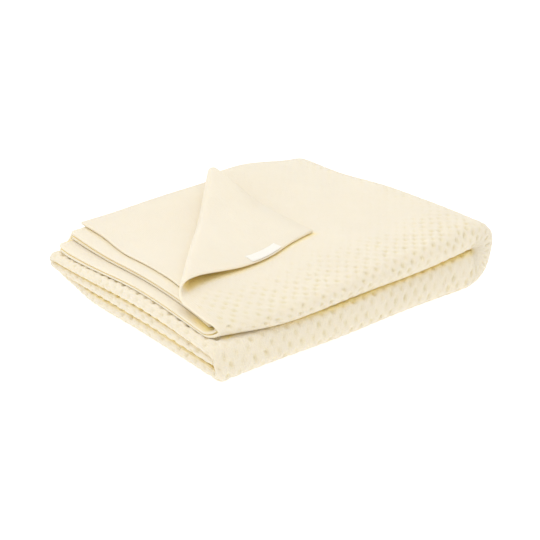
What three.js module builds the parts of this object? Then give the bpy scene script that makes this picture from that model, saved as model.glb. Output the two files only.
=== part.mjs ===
// A knitted cot blanket, folded: one cloth 1000 mm by 1500 mm, doubled, folded in three and doubled again,
// with the corner of its top layer turned back. Sizes in millimetres, +X long, +Y to the back, +Z up.
import * as THREE from 'three';

// The folded bundle
const BACK_EDGE = 312;        // front rolls stand at 0, the back folds here
const UPPER_SETBACK = 2;      // the upper half's rolls and folds stand this far in
const HEM_SETBACK = 3;        // the outer panel's back hem stops this far short of the folds
const SPAN = 334;             // length over which the bundle's slow changes run
const TURN_START = 342;       // the upper half begins to turn down here
const TURN_BACK = 18;         // the turn ends this much further left on the floor
const TURN_REACH = 44;        // reach of the outermost layer past it
const TURN_CORE = 0.02;       // room in the middle of the turn, in pair heights
const SHOULDER = 0.9;         // the turn's upper half is this power of a round one, so fuller
const FRONT_ROLL = 9.5;       // y radius of the middle of the front rolls
const FOLD_STEP = 10;         // y room that a pair of layers takes in a fold
const LEFT_FOLD_REACH = 13;   // x room that a pair of layers takes in the left-hand folds
const PAIRS = 2.95;           // pair heights from the groove to the outermost face

// The tongue's nose stands this far behind the front, in either half, and slants over the span
const NOSE = { lower: 16, upper: 34, slant: 6 };

// The front rolls' line: the upper one draws back at the left-hand end, and both waver a little
const FRONT_LINE = { draw: 15, drawReach: 55, waver: 1.2, waverLength: 195, turned: 2 };

// The lower front roll spreads at its foot, and comes to it within the right-hand turn
const FOOT = { sag: 7, width: 22, from: 1 / 6, to: 13 / 18 };

// The lower half settles towards the back by a share of its height, but swells over its left-hand folds
const SETTLE = { share: 0.08, from: 150 };
const SWELL = { height: 12.5, middle: 125, width: 115 };

// The left-hand end's own shape passes into the rest over these x
const LEFT_PART = { from: 10, to: 170 };

// Height of a pair of layers in the upper half: more to the right and at the back, domed there, less at the
// back's right-hand end and along the right-hand shoulder, and pressed along the front roll, which fills out
// again to the right. At the left-hand end the layers are thinner, and the roll is pressed flatter.
const PAIR = {
  height: 7.2, gain: 3.1, backGain: 3.8, backFrom: 190, backLoss: 5.2, lossFrom: 252, lossTo: 356,
  dome: 1.1, domeX: 255, domeWidth: 75, slump: 1, slumpFrom: 300, slumpTo: 356, slumpY: 235, slumpWidth: 65,
  press: 0.24, pressReach: 40, fillOut: 0.9,
  leftThin: 0.114, leftPress: 0.25, leftPressX: 66, leftPressY: 50,
};

// Distances of the cloth's two faces from the middle of a pair of layers, in pair heights
const RIGHT_SIDE = 0.42;
const REVERSE = 0.055;
const CLOTH_MIDDLE = (RIGHT_SIDE + REVERSE) / 2;

// Height of the groove between the lower and the upper half
const GROOVE = [
  { x: 0, z: 30 }, { x: 60, z: 30.5 }, { x: 110, z: 32 }, { x: 170, z: 33.5 },
  { x: 240, z: 35 }, { x: 310, z: 38 }, { x: 345, z: 40 },
];

// Left-hand ends of the layers, from the outer panel's back edge (0) through the front roll (1 to 2),
// the inner panel, the back fold (3 to 4) and the tongue (4 to 5)
const UPPER_END = [
  { u: 0, x: 43.2 }, { u: 0.15, x: 43.2 }, { u: 0.35, x: 35.3 }, { u: 0.55, x: 32.6 }, { u: 0.75, x: 28.2 },
  { u: 1, x: 15.3 }, { u: 1.5, x: 15 }, { u: 2, x: 5.7 }, { u: 2.5, x: 5.5 }, { u: 2.9, x: 7 },
  { u: 3, x: 10 }, { u: 3.25, x: 20 }, { u: 3.5, x: 28 }, { u: 3.75, x: 30 }, { u: 4, x: 26 },
  { u: 4.15, x: 23.5 }, { u: 4.5, x: 18.6 }, { u: 5, x: 14.6 },
];
const LOWER_END = [
  { u: 0, x: 17.1 }, { u: 0.12, x: 12.5 }, { u: 0.3, x: 5.4 }, { u: 0.6, x: 6.8 }, { u: 1, x: 6.5 },
  { u: 1.5, x: 2.8 }, { u: 2, x: 3.5 }, { u: 2.5, x: 3.8 }, { u: 3, x: 5.4 }, { u: 4, x: 6.9 },
  { u: 4.5, x: 4.8 }, { u: 5, x: 7.3 },
];

// The top layer, with the corner that is turned back, reaches further left near the front
const TOP_END = [
  { u: 0, x: 38 }, { u: 0.15, x: 37.7 }, { u: 0.3, x: 26.5 }, { u: 0.45, x: 21.1 }, { u: 0.6, x: 19.2 },
  { u: 0.7, x: 15.3 }, { u: 0.78, x: 10.3 }, { u: 0.84, x: 8.6 }, { u: 0.88, x: 8.2 }, { u: 0.92, x: 8.4 },
  { u: 0.96, x: 9.2 }, { u: 1, x: 10.3 }, { u: 1.25, x: 13.7 }, { u: 1.5, x: 15 },
];

// Slow unevenness of the layers: size as a share of the height, wave lengths along x and y, phase
const UNEVEN = [
  { size: 0.022, lengthX: 230, lengthY: 190, phase: 0.6 },
  { size: 0.014, lengthX: -140, lengthY: 260, phase: 2.1 },
  { size: 0.010, lengthX: 110, lengthY: -120, phase: 4.0 },
];

// The corner turned back: a place on its fold near the left hem and one at the back, its roll and its lie
const FOLD_AT_LEFT = new THREE.Vector2(48.8, 107.3);
const FOLD_AT_BACK = new THREE.Vector2(232.3, BACK_EDGE);
const ROLL_AT_LEFT = 6.5;     // radius of the roll at either end
const ROLL_AT_BACK = 7;
const RISE_AT_BACK = 5;       // the layer lifts this much on its way into the roll
const RISE_FROM = 0.3;        // share of the fold's length where that begins
const RISE_WIDTH = 35;
const CORNER_SHIFT = -3.6;    // the flap slips along its fold by this much
const SHIFT_WIDTH = 50;
const CORNER_SHEAR = -0.3;    // and leans on the bias
const FLAP_GAP = 1.6;         // room under the flap where it lies down
const FALL = { reach: 38, gain: 34, power: 1.3 };   // how soon it comes down, and later at the back

// The woven label, on the smooth side of the flap
const LABEL_LENGTH = 56;
const LABEL_DEPTH = 11;
const LABEL_THICK = 0.9;
const LABEL_GAP = 0.7;
const LABEL_INSET = 0.1;      // in from the hem's edge
const LABEL_FROM = 0.216;     // where it starts along the outer panel's left hem

// Mesh steps
const ROWS = { flap: 6, roll: 5, panel: 7, front: 8, inner: 7, back: 5, tongue: 8 };
const COLUMNS = { turn: 8, lower: 8, leftFold: 6, lowerInside: 6, turnInside: 8 };
const TOP_COLUMNS = [
  0, 0.09, 0.18, 0.27, 0.36, 0.44, 0.51, 0.56, 0.59, 0.615, 0.635, 0.655, 0.68, 0.72, 0.8, 0.9,
];
const INSIDE_COLUMNS = [1, 0.9, 0.72, 0.615, 0.51, 0.44, 0.36, 0.27, 0.18, 0.09, 0];   // of the layer below
const FRONT_ROWS = 1.25;      // inner rows lie closer towards the front, by this power
const ROLL_LEAST = 0.05;      // least share of the panel that the flap's and the roll's rows keep
const FLAP_LEAST = 0.4;       // and the flap's share of that
const LABEL_STEPS = 8;

const { smoothstep, clamp, lerp } = THREE.MathUtils;

// Smooth curve through a table's rows
function curve(table, key, value, at) {
  const t = clamp(at, table[0][key], table[table.length - 1][key]);
  let k = 0;
  while (k < table.length - 2 && t > table[k + 1][key]) k += 1;
  const slope = (i) => {
    const a = table[Math.max(i - 1, 0)];
    const b = table[Math.min(i + 1, table.length - 1)];
    return (b[value] - a[value]) / (b[key] - a[key]);
  };
  const p = table[k];
  const q = table[k + 1];
  const h = q[key] - p[key];
  const s = (t - p[key]) / h;
  const blend = s * s * (3 - 2 * s);
  const ease = s * (1 - s) * h;
  return lerp(p[value], q[value], blend) + ease * ((1 - s) * slope(k) - s * slope(k + 1));
}

function unevenness(x, y) {
  let sum = 1;
  for (const wave of UNEVEN) {
    const angle = 2 * Math.PI * (x / wave.lengthX + y / wave.lengthY) + wave.phase;
    sum += wave.size * Math.sin(angle);
  }
  return sum;
}

// A hump of height 1 at 0 that dies away over a reach
function hump(at, reach) {
  return Math.exp(-((at / reach) ** 2));
}

// 1 at the left-hand end, 0 further right
function leftPart(x) {
  return 1 - smoothstep(x, LEFT_PART.from, LEFT_PART.to);
}

function grooveHeight(x, y) {
  const left = leftPart(x);
  const settled = SETTLE.share * (1 - left) * smoothstep(y, SETTLE.from, BACK_EDGE);
  const swell = SWELL.height * left * hump(y - SWELL.middle, SWELL.width);
  return curve(GROOVE, 'x', 'z', x) * (1 - settled) + swell;
}

function pairHeight(x, y) {
  const dome = PAIR.dome * hump(x - PAIR.domeX, PAIR.domeWidth);
  const back = PAIR.backGain + dome - PAIR.backLoss * smoothstep(x, PAIR.lossFrom, PAIR.lossTo);
  const shoulder = smoothstep(x, PAIR.slumpFrom, PAIR.slumpTo) * hump(y - PAIR.slumpY, PAIR.slumpWidth);
  const plain = PAIR.height + PAIR.gain * x / SPAN + back * smoothstep(y, PAIR.backFrom, BACK_EDGE);
  const press = PAIR.press * (1 - PAIR.fillOut * x / SPAN) * hump(y, PAIR.pressReach);
  const leftPress = PAIR.leftPress * hump(x, PAIR.leftPressX) * hump(y, PAIR.leftPressY);
  const thin = 1 - PAIR.leftThin * leftPart(x);
  return (plain - PAIR.slump * shoulder) * thin * (1 - press - leftPress) * unevenness(x, y);
}

// y of the front rolls at x, on the lower half (upper 0) or the upper half (upper 1)
function frontEdge(x, upper) {
  const drawn = UPPER_SETBACK + FRONT_LINE.draw * hump(x, FRONT_LINE.drawReach);
  const waver = Math.sin(2 * Math.PI * x / FRONT_LINE.waverLength + FRONT_LINE.turned * upper);
  return upper * drawn + FRONT_LINE.waver * waver;
}

// How many pair heights out from the groove a point of the nested panels lies
function levelOf(u, offset) {
  if (u <= 1) return 2.5 + offset;
  if (u <= 2) return 1.5 - (1 + offset) * Math.sin((u - 1.5) * Math.PI);
  if (u <= 3) return 0.5 - offset;
  if (u <= 4) return 1 + (0.5 + offset) * Math.sin((u - 3.5) * Math.PI);
  return 1.5 + offset;
}

// The same point's y, between the front rolls, the back folds and the tongue's nose
function depthOf(u, offset, front, nose, back) {
  const foldFront = front + FRONT_ROLL + RIGHT_SIDE * FOLD_STEP;
  const foldBack = back - (0.5 + RIGHT_SIDE) * FOLD_STEP;
  if (u <= 1) return lerp(back - HEM_SETBACK, foldFront, u);
  if (u <= 2) return foldFront - (FRONT_ROLL + offset * FOLD_STEP) * Math.cos((u - 1.5) * Math.PI);
  if (u <= 3) return lerp(foldFront, foldBack, u - 2);
  if (u <= 4) return foldBack + (0.5 + offset) * FOLD_STEP * Math.cos((u - 3.5) * Math.PI);
  return lerp(foldBack, nose, u - 4);
}

// A point of the bundle before its corner is turned back. w runs from the hem of the outer sheet along
// the upper half (0 to 1), round the right-hand turn (1 to 2), along the lower half (2 to 3), round the
// left-hand fold (3 to 4) and back the same way on the inner sheet to its hem (7).
function bundlePoint(u, w, face) {
  const fold = clamp(w - 3, 0, 1) * Math.PI;
  const way = Math.min(w, 7 - w, 3);
  const turn = clamp(way - 1, 0, 1);
  const angle = Math.PI * (0.5 - turn);
  const offset = face * Math.cos(fold);
  const upper = 1 - smoothstep(turn, 0, 1);
  const n = levelOf(u, offset);
  const start = TURN_START - TURN_BACK * (1 - upper) * n / PAIRS;
  const upperEnd = curve(w < 3 && u < 1.5 ? TOP_END : UPPER_END, 'u', 'x', u);
  const straight = way <= 1
    ? lerp(upperEnd, start, way)
    : lerp(start, curve(LOWER_END, 'u', 'x', u), clamp(way - 2, 0, 1));
  const front = frontEdge(straight, upper);
  const slant = NOSE.slant * straight / SPAN;
  const nose = lerp(NOSE.lower + slant, NOSE.upper - slant, upper);
  const y = depthOf(u, offset, front, nose, BACK_EDGE - UPPER_SETBACK * upper);
  const groove = grooveHeight(straight, y);
  const z = turn < 0.5
    ? groove + n * pairHeight(straight, y) * Math.sin(angle) ** SHOULDER
    : groove * (1 + n / PAIRS * Math.sin(angle));
  const spread = smoothstep(groove - z, 0, groove) * smoothstep(turn, FOOT.from, FOOT.to);
  const sag = FOOT.sag * hump(y - front, FOOT.width) * spread;
  const turned = TURN_REACH * (TURN_CORE + n) / (TURN_CORE + PAIRS) * Math.cos(angle);
  const x = straight + turned - face * Math.sin(fold) * LEFT_FOLD_REACH;
  return new THREE.Vector3(x, y - sag, z);
}

const FOLD_RUN = FOLD_AT_BACK.clone().sub(FOLD_AT_LEFT);
const FOLD_LENGTH = FOLD_RUN.length();
const FOLD_WAY = FOLD_RUN.clone().normalize();
const FOLD_OUT = new THREE.Vector2(-FOLD_WAY.y, FOLD_WAY.x);

// Place of a plan point beside the corner's fold: out past it, along it, and the roll's sizes there
function besideFold(x, y) {
  const plan = new THREE.Vector2(x, y).sub(FOLD_AT_LEFT);
  const along = plan.dot(FOLD_WAY);
  const share = clamp(along / FOLD_LENGTH, 0, 1);
  return {
    out: plan.dot(FOLD_OUT),
    along,
    share,
    radius: lerp(ROLL_AT_LEFT, ROLL_AT_BACK, share),
    rise: RISE_AT_BACK * smoothstep(share, RISE_FROM, 1),
  };
}

// A point of the folded blanket, with the corner of the top layer rolled over and laid back
function blanketPoint(u, w, face) {
  const point = bundlePoint(u, w, face);
  if (w > 1 || u > 1) return point;
  const { out, along, share, radius, rise } = besideFold(point.x, point.y);
  if (out <= 0) {
    point.z += rise * hump(out, RISE_WIDTH);
    return point;
  }
  const offset = (face - CLOTH_MIDDLE) * pairHeight(point.x, point.y);
  const angle = Math.min(out / radius, Math.PI);
  const past = Math.max(out - Math.PI * radius, 0);
  const across = (radius - offset) * Math.sin(angle) - past;
  const slipped = along + CORNER_SHIFT * smoothstep(out, 0, SHIFT_WIDTH) + CORNER_SHEAR * past;
  const plan = FOLD_AT_LEFT.clone().addScaledVector(FOLD_WAY, slipped).addScaledVector(FOLD_OUT, across);
  const pair = pairHeight(plan.x, plan.y);
  const layer = grooveHeight(plan.x, plan.y) + (2.5 + CLOTH_MIDDLE) * pair;
  const lying = (RIGHT_SIDE - REVERSE) * pair + FLAP_GAP;
  const fall = Math.exp(-((past / (FALL.reach + FALL.gain * share)) ** FALL.power));
  const lift = past > 0
    ? lerp(lying, rise + 2 * radius, fall)
    : rise + radius * (1 - Math.cos(angle));
  return new THREE.Vector3(plan.x, plan.y, layer + lift + offset * Math.cos(angle));
}

// Where on the outer panel the corner's roll begins and ends at w, for rows that follow it
function rollRows(w) {
  const outAt = (u) => {
    const point = bundlePoint(u, w, CLOTH_MIDDLE);
    const { out, radius } = besideFold(point.x, point.y);
    return { start: out, end: out - Math.PI * radius };
  };
  const cross = (key) => {
    if (outAt(0)[key] <= 0) return 0;
    let low = 0;
    let high = 1;
    for (let k = 0; k < 40; k += 1) {
      const middle = (low + high) / 2;
      if (outAt(middle)[key] > 0) low = middle;
      else high = middle;
    }
    return low;
  };
  const start = Math.max(cross('start'), ROLL_LEAST);
  return { start, end: Math.max(cross('end'), FLAP_LEAST * start) };
}

function rowsAt(w) {
  const way = Math.min(w, 7 - w);
  const share = clamp(way - 1, 0, 1);
  const rolled = rollRows(Math.min(way, 1));
  const all = ROWS.flap + ROWS.roll + ROWS.panel;
  const start = lerp(rolled.start, (ROWS.flap + ROWS.roll) / all, share);
  const end = lerp(rolled.end, ROWS.flap / all, share);
  const rows = [];
  const run = (from, to, steps, power = 1) => {
    for (let k = 0; k < steps; k += 1) rows.push(lerp(from, to, (k / steps) ** power));
  };
  run(0, end, ROWS.flap);
  run(end, start, ROWS.roll);
  run(start, 1, ROWS.panel);
  run(1, 2, ROWS.front);
  run(2, 3, ROWS.inner, FRONT_ROWS);
  run(3, 4, ROWS.back);
  for (let k = ROWS.tongue; k >= 0; k -= 1) rows.push(5 - (k / ROWS.tongue) ** FRONT_ROWS);
  return rows;
}

// A closed body between two grids of points, the first on its outer face
function sheetBody(outer, inner) {
  const rows = outer.length;
  const columns = outer[0].length;
  const positions = [];
  for (const grid of [outer, inner]) {
    for (const row of grid) {
      for (const point of row) positions.push(point.x, point.y, point.z);
    }
  }
  const index = [];
  const quad = (a, b, c, d) => index.push(a, b, c, a, c, d);
  const at = (i, j) => i * columns + j;
  const under = rows * columns;
  for (let i = 0; i < rows - 1; i += 1) {
    for (let j = 0; j < columns - 1; j += 1) {
      quad(at(i, j), at(i + 1, j), at(i + 1, j + 1), at(i, j + 1));
      quad(under + at(i, j), under + at(i, j + 1), under + at(i + 1, j + 1), under + at(i + 1, j));
    }
  }
  const rim = (a, b) => quad(a, b, under + b, under + a);
  for (let i = 0; i < rows - 1; i += 1) {
    rim(at(i + 1, 0), at(i, 0));
    rim(at(i, columns - 1), at(i + 1, columns - 1));
  }
  for (let j = 0; j < columns - 1; j += 1) {
    rim(at(0, j), at(0, j + 1));
    rim(at(rows - 1, j + 1), at(rows - 1, j));
  }
  const geometry = new THREE.BufferGeometry();
  geometry.setAttribute('position', new THREE.Float32BufferAttribute(positions, 3));
  geometry.setIndex(index);
  return geometry;
}

function blanketBody() {
  const stations = [...TOP_COLUMNS];
  Object.values(COLUMNS).forEach((steps, k) => {
    for (let i = 0; i < steps; i += 1) stations.push(k + 1 + i / steps);
  });
  for (const way of INSIDE_COLUMNS) stations.push(7 - way);
  const rows = stations.map(rowsAt);
  const face = (side) => rows[0].map((_, i) => stations.map((w, j) => blanketPoint(rows[j][i], w, side)));
  return sheetBody(face(RIGHT_SIDE), face(REVERSE));
}

// The label lies on the reverse of the flap, which faces up there, with its long side along the hem
function labelBody() {
  const span = BACK_EDGE - HEM_SETBACK - FRONT_ROLL - RIGHT_SIDE * FOLD_STEP;
  const place = (i, j) => {
    const u = LABEL_FROM + LABEL_LENGTH / span * i / LABEL_STEPS;
    const reach = TURN_START - curve(TOP_END, 'u', 'x', u);
    const w = (LABEL_INSET + LABEL_DEPTH * j / 2) / reach;
    return blanketPoint(u, w, REVERSE);
  };
  const face = (height) => {
    const rows = [];
    for (let i = 0; i <= LABEL_STEPS; i += 1) {
      const row = [];
      for (let j = 0; j <= 2; j += 1) row.push(place(i, j).add(new THREE.Vector3(0, 0, height)));
      rows.push(row);
    }
    return rows;
  };
  return sheetBody(face(LABEL_GAP), face(LABEL_GAP + LABEL_THICK));
}

const knit = new THREE.MeshStandardMaterial({ color: '#f3e6cd', roughness: 0.95, metalness: 0 });
const tape = new THREE.MeshStandardMaterial({ color: '#fbf7ee', roughness: 0.7, metalness: 0 });

const blanket = new THREE.Mesh(blanketBody(), knit);
blanket.name = 'blanket';
const label = new THREE.Mesh(labelBody(), tape);
label.name = 'label';

// The origin is at the middle of the underside
blanket.geometry.computeBoundingBox();
const box = blanket.geometry.boundingBox;
const middle = box.getCenter(new THREE.Vector3());
for (const mesh of [blanket, label]) {
  mesh.geometry.translate(-middle.x, -middle.y, -box.min.z);
  mesh.geometry.computeVertexNormals();
}

const group = new THREE.Group();
group.name = 'folded_blanket';
group.add(blanket, label);
export default group;
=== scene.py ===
# %% [markdown]
# # A folded knitted blanket
# The blanket is one knitted cloth, 1.0 m by 1.5 m: doubled, folded in three and doubled again, with a
# corner of its top layer turned back and a woven label on the hem of that corner. The solids that are
# loaded first hold its folds and its size. This script lays a finer cloth on the same folds, with every
# bump of the knit where it shows, and gives it yarn, tape, light and a camera.

import bpy
import numpy as np
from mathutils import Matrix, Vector


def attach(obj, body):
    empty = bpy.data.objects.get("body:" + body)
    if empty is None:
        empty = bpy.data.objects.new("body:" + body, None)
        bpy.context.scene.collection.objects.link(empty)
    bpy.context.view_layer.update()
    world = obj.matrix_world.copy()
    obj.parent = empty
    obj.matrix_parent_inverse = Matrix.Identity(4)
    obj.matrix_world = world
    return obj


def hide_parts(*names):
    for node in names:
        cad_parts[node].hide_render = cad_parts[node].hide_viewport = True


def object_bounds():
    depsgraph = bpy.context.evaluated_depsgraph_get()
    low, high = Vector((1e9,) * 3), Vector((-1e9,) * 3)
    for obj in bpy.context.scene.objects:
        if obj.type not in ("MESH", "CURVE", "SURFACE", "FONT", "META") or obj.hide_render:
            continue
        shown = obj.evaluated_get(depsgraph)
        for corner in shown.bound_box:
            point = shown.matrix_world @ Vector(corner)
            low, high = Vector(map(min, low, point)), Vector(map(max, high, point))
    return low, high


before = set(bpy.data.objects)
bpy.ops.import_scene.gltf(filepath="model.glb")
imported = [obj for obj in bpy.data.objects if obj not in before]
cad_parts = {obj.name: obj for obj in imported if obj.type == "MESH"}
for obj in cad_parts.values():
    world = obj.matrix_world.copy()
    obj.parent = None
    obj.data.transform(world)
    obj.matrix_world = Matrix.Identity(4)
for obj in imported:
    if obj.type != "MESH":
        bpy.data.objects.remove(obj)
cad_low, cad_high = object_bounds()
print("solids:", sorted(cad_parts), "box in m:", [round(v, 4) for v in cad_high - cad_low])

# %% [markdown]
# ## The folds as a map
# Folded cloth could be simulated, but twelve stacked layers rarely settle into one wanted pile. Here the
# folds are a map from the flat cloth to space. The number u runs across the cloth: outer panel (0 to 1),
# front roll (1 to 2), inner panel (2 to 3), back fold (3 to 4) and tongue (4 to 5). The number w runs
# along it: upper half (0 to 1), right-hand turn (1 to 2), lower half (2 to 3), left-hand fold (3 to 4),
# and the same way back on the inner sheet (4 to 7). A third number, face, goes through the thickness.

# %% Sizes of the bundle, in millimetres
MM = 0.001
BACK_EDGE = 312.0             # front rolls stand at 0, the back folds here
UPPER_SETBACK = 2.0           # the upper half's rolls and folds stand this far in
HEM_SETBACK = 3.0             # the outer panel's back hem stops this far short of the folds
SPAN = 334.0                  # length over which the bundle's slow changes run
TURN_START = 342.0            # the upper half begins to turn down here
TURN_BACK = 18.0              # the turn ends this much further left on the floor
TURN_REACH = 44.0             # reach of the outermost layer past it
TURN_CORE = 0.02              # room in the middle of the turn, in pair heights
SHOULDER = 0.9                # the turn's upper half is this power of a round one, so fuller
FRONT_ROLL = 9.5              # y radius of the middle of the front rolls
ROLL_FULL = 0.62              # the rolls are this power of round ones towards the groove, so fuller there
FOLD_STEP = 10.0              # y room that a pair of layers takes in a fold
LEFT_FOLD_REACH = 13.0        # x room that a pair of layers takes in the left-hand folds
PAIRS = 2.95                  # pair heights from the groove to the outermost face
OUTER_LEVEL = 2.5             # middles of the pairs of layers, in pair heights out from the groove
TONGUE_LEVEL = 1.5
INNER_LEVEL = 0.5
ROLL_MIDDLE = (OUTER_LEVEL + INNER_LEVEL) / 2             # the front rolls join these two levels
ROLL_HALF = (OUTER_LEVEL - INNER_LEVEL) / 2
BACK_MIDDLE = (TONGUE_LEVEL + INNER_LEVEL) / 2            # and the back folds these two
BACK_HALF = (TONGUE_LEVEL - INNER_LEVEL) / 2
RIGHT_SIDE = 0.45             # faces of the cloth, in pair heights from the middle of a pair
REVERSE = 0.05
CLOTH_MIDDLE = (RIGHT_SIDE + REVERSE) / 2
U_END, W_END = 5, 7           # the two numbers run from 0 to these
FRONT_MIDDLE, BACK_FOLD_MIDDLE = 1.5, 3.5   # u in the middle of the front roll and of the back fold
TURN_MIDDLE, LEFT_FOLD_MIDDLE = 1.5, 3.5    # w in the middle of the turn and of the left-hand fold

# %% Tables of the bundle's shape, in millimetres
NOSE = dict(lower=16.0, upper=34.0, slant=6.0)           # y of the tongue's edge in either half
FRONT_LINE = dict(draw=15.0, draw_reach=55.0, waver=1.2, waver_length=195.0, turned=2.0)     # of the rolls
FOOT = dict(sag=7.0, width=22.0, start=1 / 6, end=13 / 18)     # the turn's front spreads on the floor
SETTLE = dict(share=0.08, start=150.0)                   # of the groove, towards the back
SWELL = dict(height=12.5, middle=125.0, width=115.0)     # of the lower half's left end
LEFT_PART = (10.0, 170.0)     # x over which the left end's own shape passes into the rest
# Height of a pair of layers in the upper half, and what is added to it and taken from it
PAIR = dict(height=7.2, gain=3.1, back_gain=3.8, back_start=190.0, back_loss=5.2, loss_start=252.0,
            loss_end=356.0, dome=1.1, dome_x=255.0, dome_width=75.0, slump=1.0, slump_x=(300.0, 356.0),
            slump_y=235.0, slump_width=65.0, press=0.24, press_reach=40.0, fill_out=0.9, left_thin=0.114,
            left_press=0.25, left_press_x=66.0, left_press_y=50.0)

# Height z of the groove between the two halves at x
GROOVE = np.array([(0, 30), (60, 30.5), (110, 32), (170, 33.5), (240, 35), (310, 38), (345, 40)], float)
# Left-hand end x of the layers at u: the upper half, its top layer with the roll, and the lower half
UPPER_END = np.array([(0, 43.2), (0.15, 43.2), (0.35, 35.3), (0.55, 32.6), (0.75, 28.2), (1, 15.3), (1.5, 15),
                      (2, 5.7), (2.5, 5.5), (2.9, 7), (3, 10), (3.25, 20), (3.5, 28), (3.75, 30), (4, 26),
                      (4.15, 23.5), (4.5, 18.6), (5, 14.6)], float)
TOP_END = np.array([(0, 46), (0.07, 42.5), (0.15, 38), (0.3, 26.5), (0.45, 21.1), (0.6, 19.2), (0.7, 15.3),
                    (0.78, 10.3), (0.84, 8.6), (0.88, 8.2), (0.92, 8.4), (0.96, 9.2), (1, 10.3),
                    (1.25, 13.7), (1.5, 15)], float)
LOWER_END = np.array([(0, 17.1), (0.12, 12.5), (0.3, 5.4), (0.6, 6.8), (1, 6.5), (1.5, 2.8), (2, 3.5),
                      (2.5, 3.8), (3, 5.4), (4, 6.9), (4.5, 4.8), (5, 7.3)], float)
# Slow unevenness: share of the height, wave lengths along x and y, phase
UNEVEN = [(0.022, 230, 190, 0.6), (0.014, -140, 260, 2.1), (0.010, 110, -120, 4.0)]
print("bundle of 12 layers, groove at", GROOVE[0, 1], "to", GROOVE[-1, 1], "mm")


# %% Helpers for curves
def lerp(a, b, share):
    """The point that lies that share of the way from a to b."""
    return a + (b - a) * share


def smoothstep(at, low, high):
    """0 below low, 1 above high, and 3 s^2 - 2 s^3 of the share s of the way between them."""
    share = np.clip((at - low) / (high - low), 0.0, 1.0)
    return share * share * (3 - 2 * share)


def fade(at, low, high):
    """The same curve turned round: 1 below low and 0 above high."""
    return smoothstep(-at, -high, -low)


def hump(at, reach):
    """A bell of height 1 at 0: e to the power of minus the square of at over reach."""
    return np.exp(-((at / reach) ** 2))


def curve(table, at):
    """A cubic through each two rows of a table, whose slope at a row is that of its two neighbours."""
    key, value = table.T
    at = np.clip(at, key[0], key[-1])
    row = np.clip(np.searchsorted(key, at) - 1, 0, len(key) - 2)
    before = np.maximum(np.arange(len(key)) - 1, 0)
    after = np.minimum(np.arange(len(key)) + 1, len(key) - 1)
    slope = (value[after] - value[before]) / (key[after] - key[before])
    width = key[row + 1] - key[row]
    share = (at - key[row]) / width
    ease = share * (1 - share) * width
    level = lerp(value[row], value[row + 1], smoothstep(share, 0, 1))
    return level + ease * ((1 - share) * slope[row] - share * slope[row + 1])


print("groove in the middle of the bundle:", round(float(curve(GROOVE, SPAN / 2)), 1), "mm high")


# %% Heights and front line of the bundle
def unevenness(x, y):
    """1 plus a few slow sine waves across the bundle."""
    waves = [size * np.sin(2 * np.pi * (x / a + y / b) + phase) for size, a, b, phase in UNEVEN]
    return 1 + sum(waves)


def left_part(x):
    """1 at the left end and 0 further right."""
    return 1 - smoothstep(x, *LEFT_PART)


def groove_height(x, y):
    """Height of the groove: it settles towards the back, and swells over the folds at the left end."""
    left = left_part(x)
    settled = SETTLE["share"] * (1 - left) * smoothstep(y, SETTLE["start"], BACK_EDGE)
    swell = SWELL["height"] * left * hump(y - SWELL["middle"], SWELL["width"])
    return curve(GROOVE, x) * (1 - settled) + swell


def pair_height(x, y):
    """Height of a pair of layers in the upper half: a slope along x, a dome at the back, a slumped right
    shoulder and a pressed front."""
    dome = PAIR["dome"] * hump(x - PAIR["dome_x"], PAIR["dome_width"])
    loss = PAIR["back_loss"] * smoothstep(x, PAIR["loss_start"], PAIR["loss_end"])
    back = (PAIR["back_gain"] + dome - loss) * smoothstep(y, PAIR["back_start"], BACK_EDGE)
    slump = PAIR["slump"] * smoothstep(x, *PAIR["slump_x"]) * hump(y - PAIR["slump_y"], PAIR["slump_width"])
    plain = PAIR["height"] + PAIR["gain"] * x / SPAN + back - slump
    press = PAIR["press"] * (1 - PAIR["fill_out"] * x / SPAN) * hump(y, PAIR["press_reach"])
    left_press = PAIR["left_press"] * hump(x, PAIR["left_press_x"]) * hump(y, PAIR["left_press_y"])
    thin = 1 - PAIR["left_thin"] * left_part(x)
    return plain * thin * (1 - press - left_press) * unevenness(x, y)


def front_edge(x, upper):
    """y of the front rolls: drawn back at the left on the upper half, and a slow waver on both."""
    drawn = UPPER_SETBACK + FRONT_LINE["draw"] * hump(x, FRONT_LINE["draw_reach"])
    waver = np.sin(2 * np.pi * x / FRONT_LINE["waver_length"] + FRONT_LINE["turned"] * upper)
    return upper * drawn + FRONT_LINE["waver"] * waver


print("a pair of layers there:", round(float(pair_height(SPAN / 2, BACK_EDGE / 2)), 1), "mm high")


# %% The back-and-forth section and the bundle
def section(u, offset, front, nose, back):
    """y and level of a point of the section: straight panels joined by half ellipses at front and back.
    The level counts pair heights out from the groove, and offset is the way through the thickness."""
    fold_front = front + FRONT_ROLL + RIGHT_SIDE * FOLD_STEP
    fold_back = back - (BACK_HALF + RIGHT_SIDE) * FOLD_STEP
    front_turn = (np.clip(u, 1, 2) - FRONT_MIDDLE) * np.pi
    back_turn = (np.clip(u, 3, 4) - BACK_FOLD_MIDDLE) * np.pi
    fullness = np.where(front_turn > 0, ROLL_FULL, 1)
    runs = [u <= 1, u <= 2, u <= 3, u <= 4]
    y = np.select(runs, [
        lerp(back - HEM_SETBACK, fold_front, u),
        fold_front - (FRONT_ROLL + offset * FOLD_STEP) * np.abs(np.cos(front_turn)) ** fullness,
        lerp(fold_front, fold_back, u - 2),
        fold_back + (BACK_HALF + offset) * FOLD_STEP * np.cos(back_turn),
    ], lerp(fold_back, nose, u - 4))
    level = np.select(runs, [
        OUTER_LEVEL + offset,
        ROLL_MIDDLE - (ROLL_HALF + offset) * np.sin(front_turn),
        INNER_LEVEL - offset,
        BACK_MIDDLE + (BACK_HALF + offset) * np.sin(back_turn),
    ], TONGUE_LEVEL + offset)
    return y, level


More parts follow.
